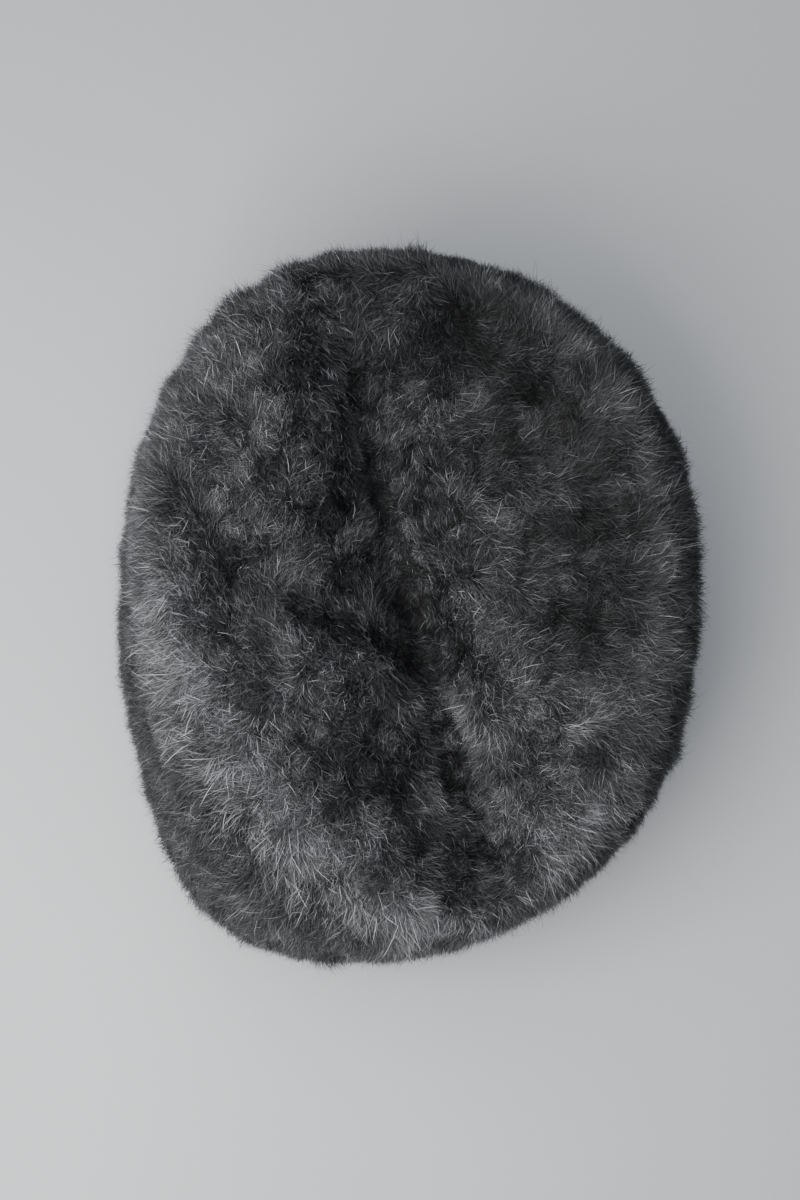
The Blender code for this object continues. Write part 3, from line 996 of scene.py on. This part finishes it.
def inner_seam():
    """The line where the two pelts meet on their skin side, with the way that each point of it faces."""
    skin = bpy.data.meshes["skin"]
    on_seam = values_of(skin, "lead") == 0.0
    bare = values_of(skin, "fur") < BARE
    at = places(skin)
    facing = facings(skin)
    number = {int(i): n for n, i in enumerate(np.nonzero(on_seam & bare)[0])}
    edges = [e.vertices for e in skin.edges if all(v in number for v in e.vertices)]
    mesh = bpy.data.meshes.new("inner_seam")
    mesh.from_pydata([tuple(at[i]) for i in number], [tuple(number[v] for v in ends) for ends in edges], [])
    mesh.vertices.foreach_set("co", eased(mesh, places(mesh), 4).astype(np.float32).ravel())
    add_values(mesh, "facing", VECTOR, [facing[i] for i in number])
    return link(bpy.data.objects.new("inner_seam", mesh))


def set_inputs(modifier, values):
    """Sets a tree's inputs by their sockets' identifiers."""
    for item in modifier.node_group.interface.items_tree:
        if item.in_out == "INPUT" and item.name in values:
            modifier[item.identifier] = values[item.name]


def drop_values(mesh, names):
    """Removes values that were only needed while the mesh was made."""
    for layer in list(mesh.attributes):
        if layer.name in names or layer.name.startswith("hair_"):
            mesh.attributes.remove(layer)


def grow(node, name, steps, material, count, values):
    """Grows one coat of hairs on a pelt and leaves it as a plain mesh."""
    bed = bpy.data.meshes.get(node + "_bed")
    if bed is None:
        raise RuntimeError(f"the {node}'s pelt has to be made before its fur")
    strip = hair_strip("one_hair", steps)
    piece = link(bpy.data.objects.new(name, bed.copy()))
    fur = piece.modifiers.new("grow_fur", "NODES")
    fur.node_group = bpy.data.node_groups.get("grow_fur") or fur_tree()
    set_inputs(fur, {"Hair": strip, "Material": material, "Density": count / fur_area(bed), **values})
    mesh = frozen(piece, name)
    bpy.data.objects.remove(strip)
    mesh.materials.clear()
    mesh.materials.append(material)
    drop_values(mesh, HAIR_VALUES)
    settle(link(bpy.data.objects.new(name, mesh)), node)


def settle(piece, node):
    """The piece stands for its CAD node and moves with the hat."""
    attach(piece, "root")
    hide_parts(node)


def grow_coats(node, under_coats, seed):
    """The dense fur of one pelt: under-coats of fine straight hairs and a top coat of bent ones."""
    sizes = bpy.context.scene.hat_sizes
    colours = bpy.context.scene.hat_colours
    material = hair_material(node + "_fur", colours.root, colours.tip, climb=1.0, fade=0.62)
    fine = {
        **UNDER_COAT, "Tuft": sizes.tuft,
        "Length": UNDER_LENGTH * sizes.hair_length, "Width": UNDER_WIDTH * sizes.hair_width}
    bent = {**TOP_COAT, "Tuft": sizes.tuft, "Length": sizes.hair_length, "Width": sizes.hair_width}
    for coat in range(1, under_coats + 1):
        name = f"{node}_under_coat_{coat}"
        grow(node, name, 1, material, sizes.under_hairs, {**fine, "Seed": seed + coat})
    grow(node, node + "_top_coat", 2, material, sizes.over_hairs, {**bent, "Seed": seed})


def grow_guards(node, count, seed):
    """The sparse pale hairs that stand over the rest."""
    sizes = bpy.context.scene.hat_sizes
    colours = bpy.context.scene.hat_colours
    root = shaded(colours.guard, ROOT_OF_GUARD)
    material = hair_material(node + "_guard_hair", root, colours.guard, climb=0.7, fade=0.5)
    grow(node, f"{node}_guard_hairs", 3, material, count, {
        **GUARD_COAT, "Seed": seed, "Tuft": sizes.tuft,
        "Length": sizes.guard_length, "Width": sizes.guard_width})


class DressSideBand(bpy.types.Operator):
    """Makes the side band's pelt."""

    bl_idname = "fur_hat.side_band"
    bl_label = "Side band's pelt"

    def execute(self, context):
        settle(make_pelt(BAND), BAND)
        return {"FINISHED"}


class DressCrown(bpy.types.Operator):
    """Makes the crown's pelt."""

    bl_idname = "fur_hat.crown"
    bl_label = "Crown's pelt"

    def execute(self, context):
        settle(make_pelt(CROWN), CROWN)
        return {"FINISHED"}


class GrowBandFur(bpy.types.Operator):
    """Grows the side band's coats of fur."""

    bl_idname = "fur_hat.side_band_fur"
    bl_label = "Side band's fur"

    def execute(self, context):
        grow_coats(BAND, under_coats=1, seed=101)
        return {"FINISHED"}


class GrowCrownFur(bpy.types.Operator):
    """Grows the crown's coats of fur."""

    bl_idname = "fur_hat.crown_fur"
    bl_label = "Crown's fur"

    def execute(self, context):
        grow_coats(CROWN, under_coats=2, seed=201)
        return {"FINISHED"}


class GrowGuardHairs(bpy.types.Operator):
    """Grows the pale guard hairs of both pelts."""

    bl_idname = "fur_hat.guard_hairs"
    bl_label = "Guard hairs"

    def execute(self, context):
        sizes = context.scene.hat_sizes
        grow_guards(CROWN, sizes.crown_guards, seed=301)
        grow_guards(BAND, sizes.band_guards, seed=302)
        return {"FINISHED"}


class SewSeam(bpy.types.Operator):
    """Sews the crown to the side band with whip stitches on the skin side."""

    bl_idname = "fur_hat.seam"
    bl_label = "Seam's stitches"

    def execute(self, context):
        line = inner_seam()
        sewing = line.modifiers.new("whip_stitches", "NODES")
        sewing.node_group = stitch_tree()
        set_inputs(sewing, {"Material": thread_material(context.scene.hat_colours)})
        mesh = frozen(line, "seam_stitches")
        if not mesh.polygons:
            raise RuntimeError("the seam has no stitches")
        drop_values(mesh, ("facing",))
        stitches = link(bpy.data.objects.new("seam_stitches", mesh))
        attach(stitches, "root")
        return {"FINISHED"}


def camera_turn():
    """The camera's turn: it looks from its place to its aim, leaned by its roll."""
    back = (CAMERA_AT - CAMERA_AIM).normalized()
    right = Vector((0, 1, 0)).cross(back).normalized()
    up = back.cross(right)
    roll = math.radians(CAMERA_ROLL_DEG)
    leaned_right = right * math.cos(roll) - up * math.sin(roll)
    leaned_up = right * math.sin(roll) + up * math.cos(roll)
    return Matrix((leaned_right, leaned_up, back)).transposed().to_4x4()


def add_light(name, place, aim, size, power, colour):
    lamp = bpy.data.lights.new(name, "AREA")
    lamp.size = size
    lamp.energy = power
    lamp.color = colour
    made = link(bpy.data.objects.new(name, lamp))
    made.location = place
    made.rotation_euler = (Vector(place) - Vector(aim)).to_track_quat("Z", "Y").to_euler()
    made.visible_camera = False


class SetStage(bpy.types.Operator):
    """Sets the floor, the lights and the camera."""

    bl_idname = "fur_hat.stage"
    bl_label = "Floor, lights and camera"

    def execute(self, context):
        mesh = bpy.data.meshes.new("floor")
        corners = ((-1, -1), (1, -1), (1, 1), (-1, 1))
        mesh.from_pydata([(FLOOR_HALF * x, FLOOR_HALF * y, 0.0) for x, y in corners], [], [(0, 1, 2, 3)])
        mesh.materials.append(floor_material(context.scene.hat_colours))
        floor = link(bpy.data.objects.new("floor", mesh))
        floor.location.z = -FLOOR_DROP
        for light in LIGHTS:
            add_light(*light)
        world = bpy.data.worlds.new("room")
        world.use_nodes = True
        background = world.node_tree.nodes["Background"]
        background.inputs["Color"].default_value = ROOM_COLOUR
        background.inputs["Strength"].default_value = ROOM_STRENGTH
        context.scene.world = world
        lens = bpy.data.cameras.new("camera")
        lens.lens = CAMERA_LENS
        lens.sensor_width = CAMERA_SENSOR
        camera = link(bpy.data.objects.new("camera", lens))
        camera.matrix_world = Matrix.Translation(CAMERA_AT) @ camera_turn()
        context.scene.camera = camera
        return {"FINISHED"}


OPERATORS = (SetStage, DressSideBand, DressCrown, GrowBandFur, GrowCrownFur, GrowGuardHairs, SewSeam)


class HatPanel(bpy.types.Panel):
    """Lists the hat's pieces and their sizes and colours."""

    bl_idname = "VIEW3D_PT_fur_hat"
    bl_label = "Fur Hat"
    bl_space_type = "VIEW_3D"
    bl_region_type = "UI"
    bl_category = "Fur Hat"

    def draw(self, context):
        for group in (context.scene.hat_sizes, context.scene.hat_colours):
            for name in group.__annotations__:
                self.layout.prop(group, name)
        for operator in OPERATORS:
            self.layout.operator(operator.bl_idname)


CLASSES = (PileSizes, PileColours, *OPERATORS, HatPanel)


def register():
    for made in CLASSES:
        bpy.utils.register_class(made)
    bpy.types.Scene.hat_sizes = PointerProperty(type=PileSizes)
    bpy.types.Scene.hat_colours = PointerProperty(type=PileColours)


def unregister():
    del bpy.types.Scene.hat_colours
    del bpy.types.Scene.hat_sizes
    for made in reversed(CLASSES):
        bpy.utils.unregister_class(made)


def main():
    register()
    bpy.ops.fur_hat.stage()
    bpy.ops.fur_hat.side_band()
    bpy.ops.fur_hat.crown()
    bpy.ops.fur_hat.side_band_fur()
    bpy.ops.fur_hat.crown_fur()
    bpy.ops.fur_hat.guard_hairs()
    bpy.ops.fur_hat.seam()


if __name__ == "__main__":
    main()
